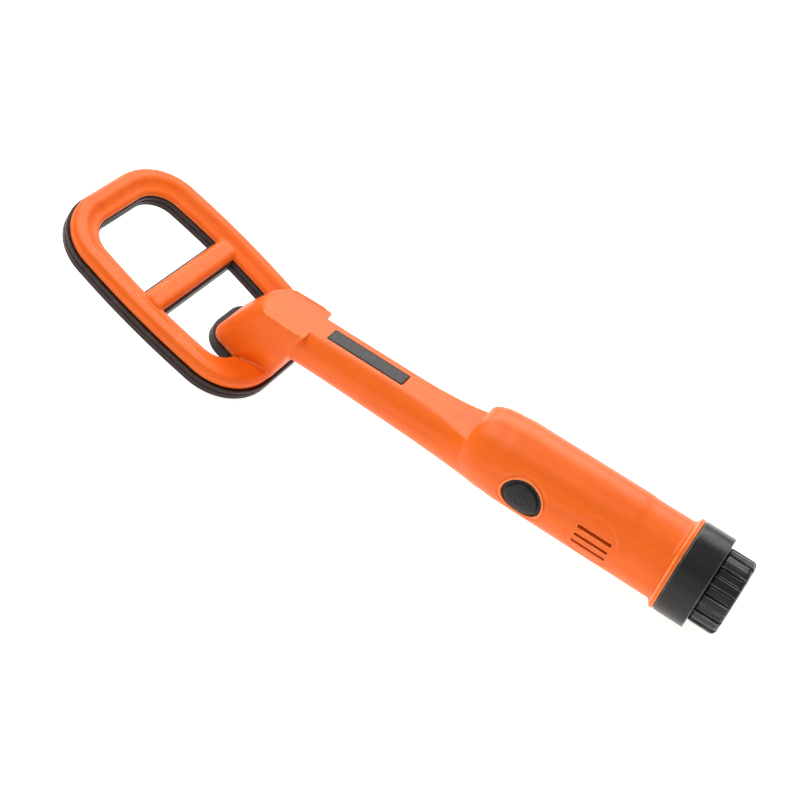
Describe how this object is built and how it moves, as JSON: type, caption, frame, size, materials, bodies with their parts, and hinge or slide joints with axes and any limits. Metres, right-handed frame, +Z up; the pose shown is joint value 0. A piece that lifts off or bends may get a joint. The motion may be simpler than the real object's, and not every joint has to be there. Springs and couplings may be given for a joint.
{
  "type": "handheld coil metal detector",
  "caption": "Handheld search-coil detector: round handle with side button, sounder slots and a ribbed screw-on battery cap, tapering neck and a rectangular coil frame with a crossbar.",
  "frame": {"origin": "middle of the bounding box's underside, on the surface that the object lies on", "axes": "+X along the handle from the coil frame towards the battery cap, +Y to the side away from the power button, +Z up"},
  "size_m": [0.3804, 0.0926, 0.0592],
  "materials": {
    "orange_plastic": "satin moulded ABS",
    "cover_plastic": "satin black-brown moulded ABS",
    "cap_plastic": "satin black moulded plastic",
    "button_rubber": "soft-touch rubber",
    "seal_rubber": "matt",
    "label_plastic": "printed foil, satin",
    "copper": "enamelled copper wire",
    "steel": "zinc plated",
    "circuit_board": "green solder mask",
    "chip_plastic": "moulded epoxy",
    "tray_plastic": "natural moulded ABS",
    "connector_plastic": "natural nylon",
    "trimmer_plastic": "blue plastic",
    "capacitor_can": "sleeved aluminium can",
    "bright_metal": "bright can",
    "battery_jacket": "printed steel jacket",
    "membrane": "porous vent film",
    "cable_jacket": "PVC jacket",
    "red_wire": "PVC insulation"
  },
  "bodies": {
    "detector": {"handle_housing": "orange_plastic", "coil_upper_shell": "orange_plastic", "coil_lower_cover": "cover_plastic", "button_seal": "seal_rubber", "cable_grommet": "seal_rubber", "spigot_o_ring": "seal_rubber", "label_plate": "label_plastic", "search_coil_winding": "copper", "coil_terminal_board": "circuit_board", "main_circuit_board": "circuit_board", "coil_cable": "cable_jacket", "negative_lead": "cable_jacket", "positive_lead": "red_wire", "sounder_membrane": "membrane", "piezo_sounder": "chip_plastic", "electronics_tray": "tray_plastic", "microcontroller": "chip_plastic", "receiver_chip": "chip_plastic", "coil_driver_transistor": "chip_plastic", "quartz_crystal": "bright_metal", "supply_capacitor": "capacitor_can", "filter_capacitor": "capacitor_can", "sensitivity_trimmer": "trimmer_plastic", "coil_socket": "connector_plastic", "coil_plug": "connector_plastic", "tactile_switch_body": "chip_plastic", "vibration_motor": "bright_metal", "nine_volt_battery": "battery_jacket", "battery_snap_connector": "chip_plastic", "foot_screw_1": "steel", "board_screw_1": "steel", "foot_screw_2": "steel", "board_screw_2": "steel", "foot_screw_3": "steel", "board_screw_3": "steel", "foot_screw_4": "steel", "board_screw_4": "steel"},
    "button": {"power_button": "button_rubber"},
    "switch_plunger": {"tactile_switch_plunger": "tray_plastic"},
    "motor_rotor": {"eccentric_weight": "steel"},
    "cap_seal": {"cap_gasket": "seal_rubber"},
    "cap": {"battery_cap": "cap_plastic"}
  },
  "joints": [
    {"name": "button_press", "type": "slide", "parent": "detector", "child": "button", "axis": [0, 1, 0], "range_m": [0, 0.0008], "stiffness_N_per_m": 2000, "springref_m": -0.0004},
    {"name": "switch_click", "type": "slide", "parent": "detector", "child": "switch_plunger", "axis": [0, 1, 0], "range_m": [0, 0.0006]},
    {"name": "motor_spin", "type": "hinge", "parent": "detector", "child": "motor_rotor", "pos_m": [0.06422, 0.0026, 0.03121], "axis": [0.9978, 0, -0.0658], "continuous": true},
    {"name": "cap_travel", "type": "slide", "parent": "detector", "child": "cap_seal", "axis": [0.9978, 0, -0.0658], "range_m": [0, 0.0065]},
    {"name": "cap_turn", "type": "hinge", "parent": "cap_seal", "child": "cap", "pos_m": [0.16899, 0, 0.02429], "axis": [0.9978, 0, -0.0658], "range_deg": [0, 720]}
  ],
  "couplings": [
    {"joint": "switch_click", "follows": "button_press", "ratio": 0.75},
    {"joint": "cap_travel", "follows": "cap_turn", "m_per_rad": 0.0005093}
  ]
}
